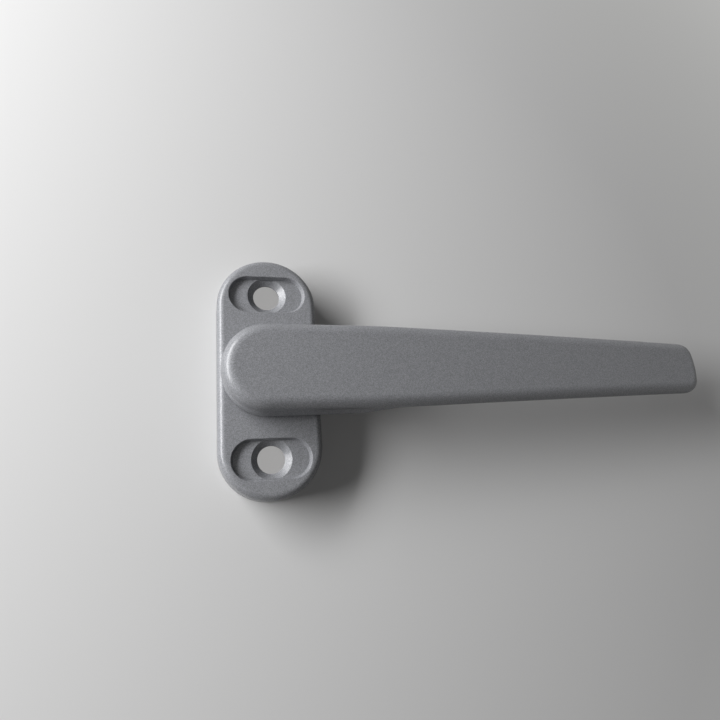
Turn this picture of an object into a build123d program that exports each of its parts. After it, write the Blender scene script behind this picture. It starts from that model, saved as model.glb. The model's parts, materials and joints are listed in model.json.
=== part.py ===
from build123d import *
import math
import os

# Folding door handle: an obround base plate with a flat tapering lever square to it.
# Millimetres. The origin is the middle of the plate's back face, on the axis that the lever turns about.
# +Z points out of the door, +Y to the upper screw hole and +X along the lever at rest.

# Base plate
plate_length = 63.0
plate_width = 25.8
plate_height = 9.0
plate_edge_round = 1.8
plate_wall = 2.2

# Screw holes, each in a recess for a label
screw_spacing = 43.0
screw_hole_radius = 3.45
countersink_radius = 5.05
countersink_depth = 1.35
recess_length = 19.8
recess_width = 10.05
recess_depth = 1.2
recess_wall_slope = 22.5
recess_rim_round = 0.25

# Hollows in the plate's back
end_pocket_depth = 5.9
end_pocket_start = 16.0
works_pocket_ceiling = 5.6
works_pocket_length = 22.0
works_pocket_width = 16.8
works_pocket_waist = 17.2
works_pocket_reach = 23.6
cover_length = 29.6
cover_width = 22.6
cover_corner_radius = 3.0
cover_thickness = 0.6
cover_bottom = 0.5
cover_clearance = 0.1
cover_neck_gap = 0.5

# Lever, seen from the front; the arc round its head is centred a little beyond the axis
head_offset = 1.3
lever_half_width = 10.85
lever_tip_half_width = 7.75
lever_reach = 132.9
taper_start = 20.0
taper_blend = 14.0
tip_bulge = 1.6
tip_corner_radius = 4.5

# Lever, seen from the side
lever_top = plate_height + 9.5
lever_top_drop = 4.1
grip_thickness = 5.2
grip_bottom_drop = 3.9
crown_offset = 5.0
underside_start = 15.0
top_edge_round = 2.9
bottom_edge_round = 1.7

# Skirt of the lever's head, widest at the line where the two halves of the mould met
head_gap = 0.7
skirt_radius = 11.45
skirt_offset = 0.8
skirt_widest_rise = 2.7
skirt_height = 5.8
skirt_upper_slope = 21.2
skirt_lower_draft = 6.0
skirt_foot_end = 14.5
skirt_ramp_middle = 23.5
skirt_ramp_middle_rise = 2.6
skirt_ramp_end = 34.0
skirt_ramp_end_rise = 5.2
skirt_foot_round = 0.4

# Neck and spindle socket
neck_radius = 7.0
neck_square = 10.6
neck_square_top = 5.05
neck_bottom = 0.3
socket_square = 7.1
socket_top = 13.3
ring_groove_radius = 6.3
ring_groove_bottom = 1.2
ring_groove_top = 2.1

# Bearing bush
bush_outer_radius = 8.3
bush_inner_radius = 7.05
bush_flange_radius = 10.8
bush_flange_thickness = 0.6

# Works inside the plate
running_gap = 0.05
press_gap = 0.01
bore_end_gap = 0.1
cam_across_flats = 15.6
cam_corner_radius = 9.0
cam_bottom = 2.85
cam_top = 5.05
stop_washer_radius = 8.8
stop_washer_thickness = 0.8
stop_tab_reach = 10.8
stop_tab_width = 3.2
stop_pin_radius = 1.0
stop_pin_offset = 10.6
stop_pin_bottom = 1.4
stop_pin_top = 7.6
stop_pin_chamfer = 0.2
stop_gap = 0.02
spring_length = 21.4
spring_thickness = 0.5
spring_height = 1.9
spring_bottom = 3.0
ring_outer_radius = 8.2
ring_thickness = 0.8
ring_opening = 50.0
ring_gap = 0.02
wave_outer_radius = 9.4
wave_inner_radius = 7.3
wave_thickness = 0.25
wave_height = 0.1
wave_count = 3
rivet_offset = 13.3
rivet_radius = 1.0
rivet_head_radius = 1.45
rivet_head_height = 0.42
rivet_head_round = 0.3
rivet_length = 4.6

screw_y = screw_spacing / 2
lever_bottom = plate_height + head_gap
spring_inner = cam_across_flats / 2 + running_gap


def obround(length, width):
    """An obround that lies along X."""
    return SlotOverall(length, width)


def disc(radius, bottom, top):
    return Pos(0, 0, bottom) * Cylinder(radius, top - bottom, align=(Align.CENTER, Align.CENTER, Align.MIN))


def block(length, width, bottom, top):
    return Pos(0, 0, bottom) * Box(length, width, top - bottom, align=(Align.CENTER, Align.CENTER, Align.MIN))


def keyed_prism(clearance, bottom, top):
    """The square section of the neck, with its corners turned round."""
    across = neck_square + 2 * clearance
    return block(across, across, bottom, top) & disc(neck_radius + clearance, bottom, top)


def label_recess(y):
    """The shallow recess with sloping walls, cut down from the plate's front."""
    front = Plane.XY.offset(plate_height)
    rim = front * Pos(0, y) * obround(recess_length, recess_width)
    return extrude(rim, amount=-recess_depth, taper=recess_wall_slope)


def screw_hole(y):
    """A countersunk hole, whose cone stops at the foot of the recess's straight walls."""
    floor = plate_height - recess_depth
    floor_width = recess_width - 2 * recess_depth * math.tan(math.radians(recess_wall_slope))
    cone = Cone(
        screw_hole_radius,
        countersink_radius,
        countersink_depth,
        align=(Align.CENTER, Align.CENTER, Align.MAX),
    )
    countersink = Pos(0, 0, floor) * cone & block(recess_length, floor_width, 0, plate_height)
    return Pos(0, y, 0) * (countersink + disc(screw_hole_radius, -1, plate_height))


def end_pocket(side):
    """The hollow behind one screw hole, open at the back."""
    inner = Rot(0, 0, 90) * obround(plate_length - 2 * plate_wall, plate_width - 2 * plate_wall)
    hollow = extrude(inner, amount=end_pocket_depth)
    keep = Pos(0, side * (end_pocket_start + plate_length / 2), 0) * Box(
        plate_width, plate_length, 4 * end_pocket_depth
    )
    return hollow & keep


def works_pocket():
    """The pocket for the works: wide in the middle, with a ledge behind each end of the springs."""
    wide = block(works_pocket_length, works_pocket_width, 0, works_pocket_ceiling)
    deep = block(works_pocket_waist, works_pocket_reach, 0, works_pocket_ceiling)
    return wide + deep


def cover_outline(clearance):
    return RectangleRounded(cover_width + 2 * clearance, cover_length + 2 * clearance, cover_corner_radius)


def make_base_plate():
    outline = Rot(0, 0, 90) * obround(plate_length, plate_width)
    plate = extrude(outline, amount=plate_height)
    plate = fillet(plate.faces().sort_by(Axis.Z)[-1].edges(), plate_edge_round)
    for side in (1, -1):
        plate -= label_recess(side * screw_y)
    front = plate.faces().filter_by(Axis.Z).sort_by(Axis.Z)[-1]
    rims = [edge for rim in front.inner_wires() for edge in rim.edges()]
    plate = fillet(rims, recess_rim_round)
    for side in (1, -1):
        plate -= screw_hole(side * screw_y)
        plate -= end_pocket(side)
        pin_bore = disc(stop_pin_radius + press_gap, 0, stop_pin_top + bore_end_gap)
        rivet_bore = disc(rivet_radius + press_gap, 0, rivet_length + bore_end_gap)
        plate -= Pos(*stop_pin_place(side)) * pin_bore
        plate -= Pos(0, side * rivet_offset, 0) * rivet_bore
    plate -= works_pocket()
    plate -= extrude(cover_outline(cover_clearance), amount=cover_bottom + cover_thickness)
    plate -= disc(bush_outer_radius + press_gap, 0, plate_height + 1)
    return plate


def stop_pin_place(side):
    """A pin stands just past the stop tab's edge when the lever has turned a quarter."""
    return (stop_tab_width / 2 + stop_pin_radius + stop_gap, side * stop_pin_offset)


def make_bearing_bush():
    sleeve = disc(bush_outer_radius, works_pocket_ceiling, plate_height)
    flange = disc(bush_flange_radius, plate_height, plate_height + bush_flange_thickness)
    return sleeve + flange - disc(bush_inner_radius, 0, lever_top)


def lever_outline():
    """Half a circle round the head, sides that run parallel and then taper, and a slightly bowed tip."""
    slope = math.atan((lever_half_width - lever_tip_half_width) / (lever_reach - taper_start - taper_blend / 2))
    blend_end = (taper_start + taper_blend, lever_half_width - taper_blend * math.tan(slope / 2))
    corner_x = lever_reach - tip_bulge
    corner = (corner_x, blend_end[1] - (corner_x - blend_end[0]) * math.tan(slope))
    upper = [
        Line((-head_offset, lever_half_width), (taper_start, lever_half_width)),
        TangentArc((taper_start, lever_half_width), blend_end, tangent=(1, 0)),
        Line(blend_end, corner),
    ]
    upper_side = Curve() + upper
    tip = ThreePointArc(corner, (lever_reach, 0), (corner[0], -corner[1]))
    head_end = (-head_offset, lever_half_width)
    head = ThreePointArc(head_end, (-head_offset - lever_half_width, 0), (-head_offset, -lever_half_width))
    face = make_face(Curve() + [upper_side, mirror(upper_side, about=Plane.XZ), tip, head])
    tip_corners = [v for v in face.vertices() if v.X > corner_x - 1]
    return fillet(tip_corners, tip_corner_radius)


def grip_profile():
    """The grip from the side: a long gentle arc on top and another below."""
    start = -20.0
    end = 150.0

    def top(x):
        share = (x + crown_offset) / (lever_reach + crown_offset)
        return lever_top - lever_top_drop * share**2

    def bottom(x):
        share = (x - underside_start) / (lever_reach - underside_start)
        return lever_top - grip_thickness - grip_bottom_drop * share**2

    middle = (start + end) / 2
    edges = [
        ThreePointArc((start, top(start)), (middle, top(middle)), (end, top(end))),
        Line((end, top(end)), (end, bottom(end))),
        ThreePointArc((end, bottom(end)), (middle, bottom(middle)), (start, bottom(start))),
        Line((start, bottom(start)), (start, top(start))),
    ]
    return Plane.XZ * make_face(Curve() + edges)


def make_grip():
    tall = extrude(lever_outline(), amount=2 * lever_top)
    grip = tall & extrude(grip_profile(), amount=2 * skirt_radius, both=True)
    grip = fillet(grip.faces().sort_by(Axis.Z)[-1].edges(), top_edge_round)
    underside = grip.faces().filter_by(lambda face: face.normal_at().Z < -0.9)
    return fillet(underside.sort_by(SortBy.AREA)[-1].edges(), bottom_edge_round)


def make_skirt():
    """The lower part of the head: a draft up to its widest line, a slope in to the grip, a ramp under the grip."""
    length = skirt_ramp_end + skirt_offset
    sides = Pos(length / 2, 0) * Rectangle(length, 2 * skirt_radius)
    widest = Pos(-skirt_offset, 0) * (Circle(skirt_radius) + sides)
    outline = Plane.XY.offset(lever_bottom + skirt_widest_rise) * widest
    upper = extrude(outline, amount=skirt_height - skirt_widest_rise, taper=skirt_upper_slope)
    lower = extrude(outline, amount=-skirt_widest_rise, taper=skirt_lower_draft)
    ramp_top = lever_bottom + skirt_ramp_end_rise
    edges = [
        Line((-2 * skirt_radius, lever_bottom), (skirt_foot_end, lever_bottom)),
        ThreePointArc(
            (skirt_foot_end, lever_bottom),
            (skirt_ramp_middle, lever_bottom + skirt_ramp_middle_rise),
            (skirt_ramp_end, ramp_top),
        ),
        Line((skirt_ramp_end, ramp_top), (-2 * skirt_radius, ramp_top)),
        Line((-2 * skirt_radius, ramp_top), (-2 * skirt_radius, lever_bottom)),
    ]
    side = Plane.XZ * make_face(Curve() + edges)
    skirt = (upper + lower) & extrude(side, amount=2 * skirt_radius, both=True)
    foot = skirt.faces().filter_by(Plane.XY).sort_by(Axis.Z)[0]
    rim = foot.edges().filter_by(lambda edge: edge.bounding_box().min.X < skirt_foot_end - 1)
    return fillet(rim, skirt_foot_round)


def make_lever():
    neck = disc(neck_radius, neck_square_top, lever_bottom + 1)
    lever = make_grip() + make_skirt() + neck + keyed_prism(0, neck_bottom, neck_square_top)
    lever -= block(socket_square, socket_square, neck_bottom - 1, socket_top)
    groove = disc(neck_radius + 1, ring_groove_bottom, ring_groove_top)
    return lever - (groove - disc(ring_groove_radius, 0, lever_bottom))


def make_wave_washer():
    """A thin ring with three waves, made of two half turns."""
    middle = (cam_top + works_pocket_ceiling) / 2
    steps = 12

    def section(turn):
        angle = math.radians(turn)
        height = middle + wave_height * math.cos(wave_count * angle)
        place = Plane(
            origin=(0, 0, height),
            x_dir=(math.cos(angle), math.sin(angle), 0),
            z_dir=(math.sin(angle), -math.cos(angle), 0),
        )
        centre = (wave_inner_radius + wave_outer_radius) / 2
        return place * Pos(centre, 0) * Rectangle(wave_outer_radius - wave_inner_radius, wave_thickness)

    halves = []
    for start in (0, 180):
        turns = [start + 180 * step / steps for step in range(steps + 1)]
        halves.append(loft([section(turn) for turn in turns]))
    return halves[0] + halves[1]


def make_index_cam():
    cam = block(cam_across_flats, cam_across_flats, cam_bottom, cam_top)
    cam &= disc(cam_corner_radius, cam_bottom, cam_top)
    return cam - keyed_prism(running_gap, cam_bottom - 1, cam_top + 1)


def make_leaf_spring(side):
    place = Pos(0, side * (spring_inner + spring_thickness / 2), spring_bottom)
    strip = Box(spring_length, spring_thickness, spring_height, align=(Align.CENTER, Align.CENTER, Align.MIN))
    corners = strip.edges().filter_by(Axis.Y)
    return place * fillet(corners, spring_height / 4)


def make_stop_washer():
    bottom = cam_bottom - stop_washer_thickness
    washer = disc(stop_washer_radius, bottom, cam_bottom)
    tab = block(2 * stop_tab_reach, stop_tab_width, bottom, cam_bottom) & disc(stop_tab_reach, bottom, cam_bottom)
    tab -= Pos(stop_tab_reach, 0, 0) * block(2 * stop_tab_reach, 2 * stop_tab_width, 0, lever_bottom)
    return washer + tab - keyed_prism(running_gap, 0, lever_bottom)


def make_stop_pin(side):
    pin = disc(stop_pin_radius, stop_pin_bottom, stop_pin_top)
    pin = chamfer(pin.edges().sort_by(Axis.Z)[0], stop_pin_chamfer)
    return Pos(*stop_pin_place(side)) * pin


def make_retaining_ring():
    bottom = cam_bottom - stop_washer_thickness - ring_thickness
    ring = disc(ring_outer_radius, bottom, bottom + ring_thickness)
    ring -= disc(ring_groove_radius + ring_gap, 0, lever_bottom)
    width = 2 * ring_outer_radius * math.sin(math.radians(ring_opening / 2))
    return ring - Pos(ring_outer_radius, 0, 0) * block(2 * ring_outer_radius, width, 0, lever_bottom)


def make_back_cover():
    cover = Pos(0, 0, cover_bottom) * extrude(cover_outline(0), amount=cover_thickness)
    cover -= disc(neck_radius + cover_neck_gap, 0, lever_bottom)
    for side in (1, -1):
        cover -= Pos(0, side * rivet_offset, 0) * disc(rivet_radius + running_gap, 0, lever_bottom)
    return cover


def make_rivet(side):
    shank = disc(rivet_radius, cover_bottom, rivet_length)
    head = disc(rivet_head_radius, cover_bottom - rivet_head_height, cover_bottom)
    head = fillet(head.edges().sort_by(Axis.Z)[0], rivet_head_round)
    return Pos(0, side * rivet_offset, 0) * (shank + head)


parts = {
    "base_plate": make_base_plate(),
    "bearing_bush": make_bearing_bush(),
    "lever": make_lever(),
    "wave_washer": make_wave_washer(),
    "index_cam": make_index_cam(),
    "leaf_spring_upper": make_leaf_spring(1),
    "leaf_spring_lower": make_leaf_spring(-1),
    "stop_washer": make_stop_washer(),
    "stop_pin_upper": make_stop_pin(1),
    "stop_pin_lower": make_stop_pin(-1),
    "retaining_ring": make_retaining_ring(),
    "back_cover": make_back_cover(),
    "cover_rivet_upper": make_rivet(1),
    "cover_rivet_lower": make_rivet(-1),
}

os.makedirs("parts", exist_ok=True)
for name, shape in parts.items():
    export_step(shape, "parts/" + name + ".step")
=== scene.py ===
import bpy
import json
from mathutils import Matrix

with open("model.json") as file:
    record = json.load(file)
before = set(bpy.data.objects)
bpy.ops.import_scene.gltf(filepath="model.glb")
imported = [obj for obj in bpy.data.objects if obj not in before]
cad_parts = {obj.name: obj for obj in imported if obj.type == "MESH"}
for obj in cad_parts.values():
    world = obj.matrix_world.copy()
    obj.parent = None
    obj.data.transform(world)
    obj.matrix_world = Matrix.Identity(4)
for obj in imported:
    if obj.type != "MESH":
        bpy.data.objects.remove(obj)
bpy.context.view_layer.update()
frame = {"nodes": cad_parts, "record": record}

# The scene is in metres, in the model's own frame: the plate's back lies at z = 0, the lever points along +X.
nodes = frame["nodes"]

# Camera, at the photograph's own viewpoint: a wide phone lens held close above the handle
camera_place = (-0.01626, -0.03419, 0.14317)
camera_turn = (0.2740, -0.2823, 0.0005)
camera_lens = 27.05
camera_sensor = 36.0
camera_nearest = 0.005
camera_farthest = 20.0

# Floor: its colour as seen, the duller one that it bounces on to the handle, and its own glow
floor_size = 4.0
floor_place = (0.0, 0.0, -0.0001)
floor_colour = (0.62, 0.62, 0.62, 1.0)
floor_bounce_colour = (0.34, 0.335, 0.33, 1.0)
floor_glow = 0.03
floor_glow_colour = (1.0, 0.99, 0.98, 1.0)

# The oval of floor under the plate, lit by a painted glow that stands in for light, which starts to fade at
# the share hidden_edge of its size
painted_light_under_plate = 0.34
hidden_half_width = 0.0124
hidden_half_length = 0.031
hidden_edge = 0.9

# Background, into which the floor runs out between these distances from the handle
near_floor_radius = 0.15
far_floor_radius = 0.32
background_colour = (0.50, 0.50, 0.49, 1.0)

# Light: the room, from its left to its right, and the window
room_colour = (1.0, 0.99, 0.98, 1.0)
room_left = 0.11
room_right = 0.0
window_place = (-0.36, 0.14, 0.205)
window_aim = (0.03, 0.0, 0.0)
window_width = 0.50
window_height = 0.12
window_power = 3.9

# Colours of the finishes, each with its darkest and its lightest
coat_dark = (0.158, 0.161, 0.173, 1.0)
coat_light = (0.308, 0.314, 0.333, 1.0)
acetal_dark = (0.018, 0.018, 0.019, 1.0)
acetal_light = (0.0288, 0.0288, 0.0304, 1.0)
spring_dark = (0.23, 0.22, 0.21, 1.0)
spring_light = (0.42, 0.41, 0.40, 1.0)
works_dark = (0.27, 0.27, 0.27, 1.0)
works_light = (0.50, 0.50, 0.49, 1.0)
zinc_dark = (0.46, 0.47, 0.50, 1.0)
zinc_light = (0.70, 0.71, 0.72, 1.0)


def new_group(name, inputs, outputs):
    """An empty shader node group: inputs are (name, default), outputs are names."""
    group = bpy.data.node_groups.new(name, "ShaderNodeTree")
    for label, value in inputs:
        socket = group.interface.new_socket(label, in_out="INPUT", socket_type="NodeSocketFloat")
        socket.default_value = value
    for label in outputs:
        group.interface.new_socket(label, in_out="OUTPUT", socket_type="NodeSocketFloat")
    return group


def add(tree, kind, values=None, **settings):
    """A node of that kind, with its properties set by name, and its inputs by their labels or numbers."""
    node = tree.nodes.new(kind)
    for key, value in settings.items():
        setattr(node, key, value)
    for label, value in (values or {}).items():
        node.inputs[label].default_value = value
    return node


def link(tree, source, target):
    tree.links.new(source, target)


def make_flake_group():
    """Metal flakes in a coat: each cell of a fine foam pattern has its own brightness and height."""
    group = new_group(
        "flakes",
        [("Flakes per metre", 5000.0), ("Spread", 0.5)],
        ["Brightness", "Height"],
    )
    middle = 0.5
    start = add(group, "NodeGroupInput")
    end = add(group, "NodeGroupOutput")
    place = add(group, "ShaderNodeTexCoord")
    cells = add(group, "ShaderNodeTexVoronoi", feature="F1")
    link(group, place.outputs["Object"], cells.inputs["Vector"])
    link(group, start.outputs["Flakes per metre"], cells.inputs["Scale"])
    split = add(group, "ShaderNodeSeparateColor")
    link(group, cells.outputs["Color"], split.inputs["Color"])
    centred = add(group, "ShaderNodeMath", operation="SUBTRACT", values={1: middle})
    link(group, split.outputs["Red"], centred.inputs[0])
    spread = add(group, "ShaderNodeMath", operation="MULTIPLY_ADD", use_clamp=True, values={2: middle})
    link(group, centred.outputs[0], spread.inputs[0])
    link(group, start.outputs["Spread"], spread.inputs[1])
    link(group, spread.outputs[0], end.inputs["Brightness"])
    link(group, split.outputs["Green"], end.inputs["Height"])
    return group


def make_orange_peel_group():
    """The soft waviness of a sprayed and baked coat, at two sizes."""
    group = new_group("orange peel", [("Waves per metre", 900.0), ("Fine share", 0.35)], ["Height"])
    fine_to_broad = 4.0
    start = add(group, "NodeGroupInput")
    end = add(group, "NodeGroupOutput")
    place = add(group, "ShaderNodeTexCoord")
    broad = add(group, "ShaderNodeTexNoise", values={"Detail": 2.0, "Roughness": 0.45})
    link(group, place.outputs["Object"], broad.inputs["Vector"])
    link(group, start.outputs["Waves per metre"], broad.inputs["Scale"])
    finer = add(group, "ShaderNodeMath", operation="MULTIPLY", values={1: fine_to_broad})
    link(group, start.outputs["Waves per metre"], finer.inputs[0])
    fine = add(group, "ShaderNodeTexNoise", values={"Detail": 1.0, "Roughness": 0.5})
    link(group, place.outputs["Object"], fine.inputs["Vector"])
    link(group, finer.outputs[0], fine.inputs["Scale"])
    mixed = add(group, "ShaderNodeMix", data_type="FLOAT")
    link(group, start.outputs["Fine share"], mixed.inputs["Factor"])
    link(group, broad.outputs["Fac"], mixed.inputs["A"])
    link(group, fine.outputs["Fac"], mixed.inputs["B"])
    link(group, mixed.outputs["Result"], end.inputs["Height"])
    return group


def make_grain_group():
    """Rolling or grinding marks: a noise drawn out along one axis by its three scales."""
    group = new_group(
        "grain",
        [("Along X", 60.0), ("Along Y", 4000.0), ("Along Z", 4000.0)],
        ["Mask"],
    )
    start = add(group, "NodeGroupInput")
    end = add(group, "NodeGroupOutput")
    place = add(group, "ShaderNodeTexCoord")
    stretch = add(group, "ShaderNodeCombineXYZ")
    for axis in ("X", "Y", "Z"):
        link(group, start.outputs["Along " + axis], stretch.inputs[axis])
    drawn = add(group, "ShaderNodeVectorMath", operation="MULTIPLY")
    link(group, place.outputs["Object"], drawn.inputs[0])
    link(group, stretch.outputs[0], drawn.inputs[1])
    noise = add(group, "ShaderNodeTexNoise", values={"Scale": 1.0, "Detail": 4.0, "Roughness": 0.6})
    link(group, drawn.outputs[0], noise.inputs["Vector"])
    link(group, noise.outputs["Fac"], end.inputs["Mask"])
    return group


flakes = make_flake_group()
orange_peel = make_orange_peel_group()
grain = make_grain_group()


def new_material(name, metallic, specular=0.5, clear=0.0, clear_roughness=0.0):
    """A material with its surface shader, whose unchanging values are set on the shader's own sockets."""
    material = bpy.data.materials.new(name)
    material.use_nodes = True
    shader = material.node_tree.nodes["Principled BSDF"]
    shader.inputs["Metallic"].default_value = metallic
    shader.inputs["Specular IOR Level"].default_value = specular
    shader.inputs["Coat Weight"].default_value = clear
    shader.inputs["Coat Roughness"].default_value = clear_roughness
    return material, material.node_tree, shader


def use_group(tree, group, **values):
    """One of the groups placed in a material, with its inputs set by their labels."""
    node = tree.nodes.new("ShaderNodeGroup")
    node.node_tree = group
    for label, number in values.items():
        node.inputs[label.replace("_", " ")].default_value = number
    return node


def blend_colours(tree, mask, dark, light):
    """A colour that runs from dark to light as the mask runs from nought to one."""
    mix = add(tree, "ShaderNodeMix", data_type="RGBA")
    mix.inputs["A"].default_value = dark
    mix.inputs["B"].default_value = light
    link(tree, mask, mix.inputs["Factor"])
    return mix.outputs["Result"]


def spread_values(tree, mask, first, last):
    """A value that runs from first to last as the mask runs from nought to one."""
    span = add(tree, "ShaderNodeMapRange", values={"To Min": first, "To Max": last})
    link(tree, mask, span.inputs["Value"])
    return span.outputs["Result"]


def raise_surface(tree, height, depth, strength, under=None):
    """A bump of that depth in metres, laid over another one if there is one."""
    bump = add(tree, "ShaderNodeBump", values={"Distance": depth, "Strength": strength})
    link(tree, height, bump.inputs["Height"])
    if under is not None:
        link(tree, under, bump.inputs["Normal"])
    return bump.outputs["Normal"]


def finish_shader(tree, shader, colour, roughness, normal):
    link(tree, colour, shader.inputs["Base Color"])
    link(tree, roughness, shader.inputs["Roughness"])
    link(tree, normal, shader.inputs["Normal"])


def make_silver_coat():
    """Semi-matt powder coat: grey, with fine bright flakes under a satin skin and a faint orange peel."""
    material, tree, shader = new_material(
        "silver coat", metallic=0.12, specular=0.32, clear=0.5, clear_roughness=0.27
    )
    flake = use_group(tree, flakes, Flakes_per_metre=6800.0, Spread=0.9)
    peel = use_group(tree, orange_peel, Waves_per_metre=850.0, Fine_share=0.4)
    colour = blend_colours(tree, flake.outputs["Brightness"], coat_dark, coat_light)
    roughness = spread_values(tree, flake.outputs["Brightness"], first=0.60, last=0.50)
    peeled = raise_surface(tree, peel.outputs["Height"], depth=0.00003, strength=0.5)
    flaked = raise_surface(tree, flake.outputs["Height"], depth=0.000006, strength=0.5, under=peeled)
    finish_shader(tree, shader, colour, roughness, flaked)
    return material


def make_acetal():
    """Black moulded plastic with a fine spark-eroded skin."""
    material, tree, shader = new_material("black acetal", metallic=0.0)
    peel = use_group(tree, orange_peel, Waves_per_metre=2500.0, Fine_share=0.6)
    colour = blend_colours(tree, peel.outputs["Height"], acetal_dark, acetal_light)
    roughness = spread_values(tree, peel.outputs["Height"], first=0.35, last=0.55)
    skin = raise_surface(tree, peel.outputs["Height"], depth=0.00003, strength=0.4)
    finish_shader(tree, shader, colour, roughness, skin)
    return material


def make_spring_steel():
    """Hard rolled strip, with rolling marks along its length."""
    material, tree, shader = new_material("spring steel", metallic=1.0)
    marks = use_group(tree, grain, Along_X=150.0, Along_Y=9000.0, Along_Z=9000.0)
    colour = blend_colours(tree, marks.outputs["Mask"], spring_dark, spring_light)
    roughness = spread_values(tree, marks.outputs["Mask"], first=0.25, last=0.50)
    rolled = raise_surface(tree, marks.outputs["Mask"], depth=0.00001, strength=0.4)
    finish_shader(tree, shader, colour, roughness, rolled)
    return material


def make_works_steel():
    """Bare sintered and stamped steel, with fine pits and a trace of oil."""
    material, tree, shader = new_material("works steel", metallic=1.0)
    pits = use_group(tree, orange_peel, Waves_per_metre=3200.0, Fine_share=0.5)
    colour = blend_colours(tree, pits.outputs["Height"], works_dark, works_light)
    roughness = spread_values(tree, pits.outputs["Height"], first=0.30, last=0.58)
    pitted = raise_surface(tree, pits.outputs["Height"], depth=0.00004, strength=0.5)
    finish_shader(tree, shader, colour, roughness, pitted)
    return material


def make_plated_steel():
    """Bright zinc plating over cold rolled sheet."""
    material, tree, shader = new_material("plated steel", metallic=1.0)
    marks = use_group(tree, grain, Along_X=2600.0, Along_Y=90.0, Along_Z=2600.0)
    cloud = use_group(tree, orange_peel, Waves_per_metre=260.0, Fine_share=0.3)
    colour = blend_colours(tree, cloud.outputs["Height"], zinc_dark, zinc_light)
    roughness = spread_values(tree, marks.outputs["Mask"], first=0.22, last=0.44)
    rolled = raise_surface(tree, marks.outputs["Mask"], depth=0.00001, strength=0.35)
    finish_shader(tree, shader, colour, roughness, rolled)
    return material


def finish_nodes():
    """Each node's own material gives way to the finish of its slot."""
    finishes = {
        "silver_coat": make_silver_coat(),
        "bush_plastic": make_acetal(),
        "spring_steel": make_spring_steel(),
        "works_steel": make_works_steel(),
        "plated_steel": make_plated_steel(),
    }
    for part in frame["record"]["subparts"]:
        for slot in nodes[part["node"]].material_slots:
            slot.material = finishes[part["material_slot"]]


def seen_rays(tree):
    """One for a ray from the camera, a mirror or glass, and nought for one from a matt surface."""
    rays = add(tree, "ShaderNodeLightPath")
    mirrored = add(tree, "ShaderNodeMath", operation="MAXIMUM")
    link(tree, rays.outputs["Is Camera Ray"], mirrored.inputs[0])
    link(tree, rays.outputs["Is Glossy Ray"], mirrored.inputs[1])
    seen = add(tree, "ShaderNodeMath", operation="MAXIMUM")
    link(tree, mirrored.outputs[0], seen.inputs[0])
    link(tree, rays.outputs["Is Transmission Ray"], seen.inputs[1])
    return seen.outputs[0]


def choose_shader(tree, share, first, second):
    """The first shader where the share is nought, the second where it is one, and a mixture between."""
    chosen = add(tree, "ShaderNodeMixShader")
    link(tree, share, chosen.inputs["Fac"])
    link(tree, first.outputs[0], chosen.inputs[1])
    link(tree, second.outputs[0], chosen.inputs[2])
    return chosen


def floor_distance(tree, place, half_width, half_length):
    """Distance from the middle of the handle, where one is an oval of that size on the floor."""
    shrunk = add(
        tree, "ShaderNodeVectorMath", operation="DIVIDE", values={1: (half_width, half_length, 1.0)}
    )
    link(tree, place.outputs["Object"], shrunk.inputs[0])
    distance = add(tree, "ShaderNodeVectorMath", operation="LENGTH")
    link(tree, shrunk.outputs["Vector"], distance.inputs[0])
    return distance.outputs["Value"]


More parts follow.
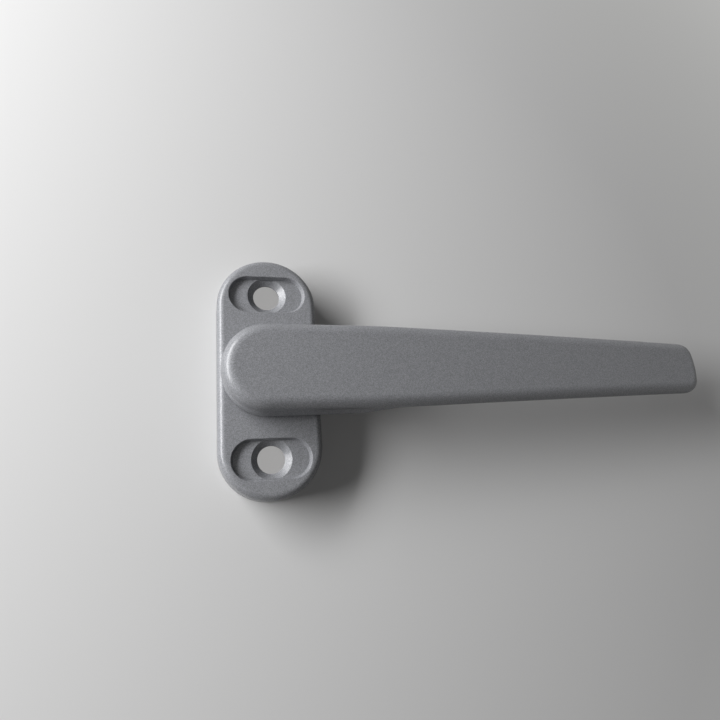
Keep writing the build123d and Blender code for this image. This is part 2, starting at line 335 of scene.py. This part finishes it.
def make_floor():
    """A matt pale floor that runs out into the background.

    Under the plate, where no light gets, it glows with painted light, so that the screw holes show it pale.
    """
    bpy.ops.mesh.primitive_plane_add(size=floor_size, location=floor_place)
    floor = bpy.context.object
    floor.name = "floor"
    material = bpy.data.materials.new("floor")
    material.use_nodes = True
    tree = material.node_tree
    tree.nodes.clear()
    bounce = add(tree, "ShaderNodeBsdfDiffuse", values={"Color": floor_bounce_colour})
    matt = add(tree, "ShaderNodeBsdfDiffuse", values={"Color": floor_colour})
    place = add(tree, "ShaderNodeTexCoord")
    # painted light: the floor under the plate glows, standing in for light on the floor seen through the
    # screw holes
    glow_level = add(
        tree,
        "ShaderNodeMapRange",
        values={"From Min": hidden_edge, "From Max": 1.0, "To Min": painted_light_under_plate, "To Max": floor_glow},
    )
    under_plate = floor_distance(tree, place, hidden_half_width, hidden_half_length)
    link(tree, under_plate, glow_level.inputs["Value"])
    glow = add(tree, "ShaderNodeEmission", values={"Color": floor_glow_colour})
    link(tree, glow_level.outputs["Result"], glow.inputs["Strength"])
    pale = add(tree, "ShaderNodeAddShader")
    link(tree, matt.outputs[0], pale.inputs[0])
    link(tree, glow.outputs[0], pale.inputs[1])
    fade = add(
        tree, "ShaderNodeMapRange", values={"From Min": near_floor_radius, "From Max": far_floor_radius}
    )
    link(tree, floor_distance(tree, place, 1.0, 1.0), fade.inputs["Value"])
    far = add(tree, "ShaderNodeEmission", values={"Color": background_colour, "Strength": 1.0})
    shown = choose_shader(tree, fade.outputs["Result"], pale, far)
    chosen = choose_shader(tree, seen_rays(tree), bounce, shown)
    end = add(tree, "ShaderNodeOutputMaterial")
    link(tree, chosen.outputs[0], end.inputs["Surface"])
    floor.data.materials.append(material)


def make_window():
    """A wide, low and soft lamp, turned to the handle."""
    lamp = bpy.data.lights.new("window", "AREA")
    lamp.shape = "RECTANGLE"
    lamp.size = window_width
    lamp.size_y = window_height
    lamp.energy = window_power
    holder = bpy.data.objects.new("window", lamp)
    holder.visible_camera = False
    bpy.context.scene.collection.objects.link(holder)
    holder.location = window_place
    direction = holder.location.copy()
    direction.x, direction.y, direction.z = (window_aim[i] - window_place[i] for i in range(3))
    holder.rotation_mode = "QUATERNION"
    holder.rotation_quaternion = direction.to_track_quat("-Z", "Y")


def make_world():
    """A room that is brighter on the left; the camera and mirrors see the plain background."""
    world = bpy.data.worlds.new("room")
    bpy.context.scene.world = world
    world.use_nodes = True
    tree = world.node_tree
    tree.nodes.clear()
    place = add(tree, "ShaderNodeTexCoord")
    split = add(tree, "ShaderNodeSeparateXYZ")
    link(tree, place.outputs["Generated"], split.inputs[0])
    fade = add(
        tree,
        "ShaderNodeMapRange",
        values={"From Min": -1.0, "From Max": 1.0, "To Min": room_left, "To Max": room_right},
    )
    link(tree, split.outputs["X"], fade.inputs["Value"])
    room = add(tree, "ShaderNodeBackground", values={"Color": room_colour})
    link(tree, fade.outputs["Result"], room.inputs["Strength"])
    plain = add(tree, "ShaderNodeBackground", values={"Color": background_colour, "Strength": 1.0})
    chosen = choose_shader(tree, seen_rays(tree), room, plain)
    end = add(tree, "ShaderNodeOutputWorld")
    link(tree, chosen.outputs[0], end.inputs["Surface"])


def make_camera():
    lens = bpy.data.cameras.new("camera")
    lens.sensor_width = camera_sensor
    lens.lens = camera_lens
    lens.clip_start = camera_nearest
    lens.clip_end = camera_farthest
    camera = bpy.data.objects.new("camera", lens)
    bpy.context.scene.collection.objects.link(camera)
    camera.location = camera_place
    camera.rotation_mode = "ZYX"
    camera.rotation_euler = camera_turn
    bpy.context.scene.camera = camera


finish_nodes()
make_floor()
make_world()
make_window()
make_camera()
bpy.context.scene.view_settings.view_transform = "Standard"
